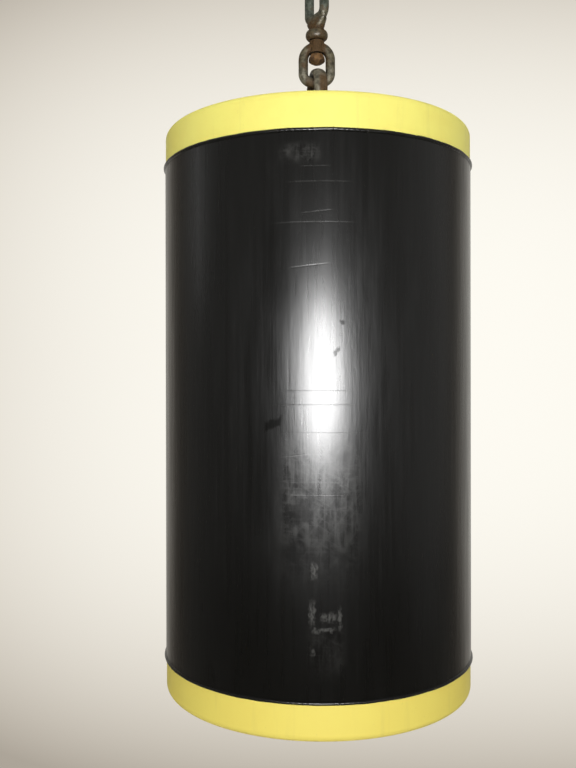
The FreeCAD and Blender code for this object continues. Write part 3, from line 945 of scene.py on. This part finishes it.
def wall_material():
    material, tree, shader = paint("painted_wall")
    # the wall glows with painted light, as if a lamp lit it
    glow = add(tree, "ShaderNodeEmission", Color=painted_wall_light(tree), Strength=1.0)
    show_front(tree, mix_shaders(tree, picked_rays(tree), shader.outputs[0], glow.outputs[0]))
    return material


def floor_material():
    material, tree, shader = paint("painted_floor")
    show_front(tree, shader.outputs[0])
    return material


def stage_sheet(name, corners, material):
    mesh = bpy.data.meshes.new(name)
    mesh.from_pydata(corners, [], [(0, 1, 2, 3)])
    mesh.materials.append(material)
    sheet = bpy.data.objects.new(name, mesh)
    bpy.context.scene.collection.objects.link(sheet)


FLOOR_Z = BUOY_BOTTOM - FLOOR_DROP
LEFT, RIGHT, BACK, TOP = -STAGE_HALF, STAGE_HALF, WALL_BEHIND, FLOOR_Z + 2 * STAGE_HALF
stage_sheet("wall", [(LEFT, BACK, FLOOR_Z), (RIGHT, BACK, FLOOR_Z),
                     (RIGHT, BACK, TOP), (LEFT, BACK, TOP)], wall_material())
stage_sheet("floor", [(LEFT, LEFT, FLOOR_Z), (RIGHT, LEFT, FLOOR_Z),
                      (RIGHT, RIGHT, FLOOR_Z), (LEFT, RIGHT, FLOOR_Z)], floor_material())
print(f"wall {WALL_BEHIND} m behind the axis, floor at {FLOOR_Z:.2f} m")

# %% [markdown]
# ## Camera
# The camera stands a little over a metre from the axis, a little above the pipe's middle, and
# turned slightly left so that the buoy is right of the picture's centre.

# %% Camera
VIEW_DISTANCE = 1.1206
VIEW_RISE = 0.0378         # above the pipe's middle
YAW, PITCH, ROLL = 2.0, -0.13, 0.10    # degrees
LENS, SENSOR_WIDTH = 39.36, 36         # millimetres

camera_data = bpy.data.cameras.new("camera")
camera_data.sensor_width = SENSOR_WIDTH
camera_data.lens = LENS
camera = bpy.data.objects.new("camera", camera_data)
bpy.context.scene.collection.objects.link(camera)
camera.location = (0, -VIEW_DISTANCE, PIPE_MIDDLE + VIEW_RISE)
camera.rotation_euler = (math.radians(90 + PITCH), math.radians(ROLL), math.radians(YAW))
bpy.context.scene.camera = camera
print("camera at", tuple(round(v, 3) for v in camera.location))

# %% [markdown]
# ## Light
# One soft lamp behind the camera, a little above it, lights the colours. A wide one at the lens
# is seen only in reflections, as a flash is, and draws the upright highlight on the pipe: the
# pipe's roundness makes it narrow, and the lines along the pipe spread it sideways. Two weak
# lamps at the back keep the sides from going dark, a small one draws a faint band on the left,
# and a wide dim one lightens the right half, as the paler side of a room does.

# %% Lamps
EYE_LEVEL = camera.location.z
WHITE, WARM = (1, 1, 1), (1.0, 0.985, 0.95)
LAMPS = [  # name, right of the axis, behind it, above eye level, width, height, power, only glints
    ("soft_front", 0.05, -1.9, 0.28, 0.5, 0.5, 30.0, False),
    ("lens_light", 0.058, -1.10, -0.004, 0.50, 0.34, 45.0, True),
    ("back_left", -1.5, 0.45, 0.4, 0.6, 1.2, 3.2, False),
    ("back_right", 1.5, 0.45, 0.4, 0.6, 1.2, 3.2, False),
    ("soft_top", 0.1, -0.3, 1.5, 0.8, 0.8, 4.0, False),
    ("left_band", -1.7, 0.0, 0.55, 0.12, 0.7, 0.55, True),
    ("right_panel", 1.65, -0.40, 0.15, 1.6, 1.9, 2.15, True),
]


def lamp(name, right, behind, above, width, height, power, glints):
    """An oval lamp aimed at the axis at eye level. It either lights surfaces or glints on them."""
    data = bpy.data.lights.new(name, "AREA")
    data.shape = "ELLIPSE"
    data.size, data.size_y = width, height
    data.energy = power
    data.color = WHITE if glints else WARM
    thing = bpy.data.objects.new(name, data)
    bpy.context.scene.collection.objects.link(thing)
    thing.location = (right, behind, EYE_LEVEL + above)
    toward = Vector((0, 0, EYE_LEVEL)) - thing.location
    thing.rotation_euler = toward.to_track_quat("-Z", "Y").to_euler()
    thing.visible_camera = False
    thing.visible_diffuse = not glints
    thing.visible_glossy = glints


for row in LAMPS:
    lamp(*row)
print("lamps:", ", ".join(row[0] for row in LAMPS))

# %% [markdown]
# ## The room around
# The world stands for the rest of the room. Reflections see it pale above and darker below, and
# as light it is weak, so that the lamps decide how the colours look.

# %% World
ROOM_BELOW, ROOM_ABOVE = (0.30, 0.29, 0.27, 1), (0.52, 0.51, 0.485, 1)
ROOM_LIGHT = (0.16, 0.157, 0.15, 1)
HORIZON = (-0.3, 0.3)       # how far down and up the two colours blend


def build_world():
    world = bpy.data.worlds.new("world")
    world.use_nodes = True
    tree = world.node_tree
    tree.nodes.clear()
    direction = add(tree, "ShaderNodeTexCoord").outputs["Generated"]
    parts = add(tree, "ShaderNodeSeparateXYZ", Vector=direction)
    height = soft_step(tree, parts.outputs["Z"], *HORIZON)
    room = mix_colours(tree, height, ROOM_BELOW, ROOM_ABOVE)
    colour = mix_colours(tree, picked_rays(tree), ROOM_LIGHT, room)
    background = add(tree, "ShaderNodeBackground", Color=colour, Strength=1.0)
    output = tree.nodes.new("ShaderNodeOutputWorld")
    tree.links.new(background.outputs[0], output.inputs["Surface"])
    return world


surroundings = build_world()
bpy.context.scene.world = surroundings
bpy.context.scene.view_settings.view_transform = "Standard"
print("world:", len(surroundings.node_tree.nodes), "nodes")

# %% Sizes and finish
print("CAD box:", [round(v, 4) for c in cad_box for v in c])
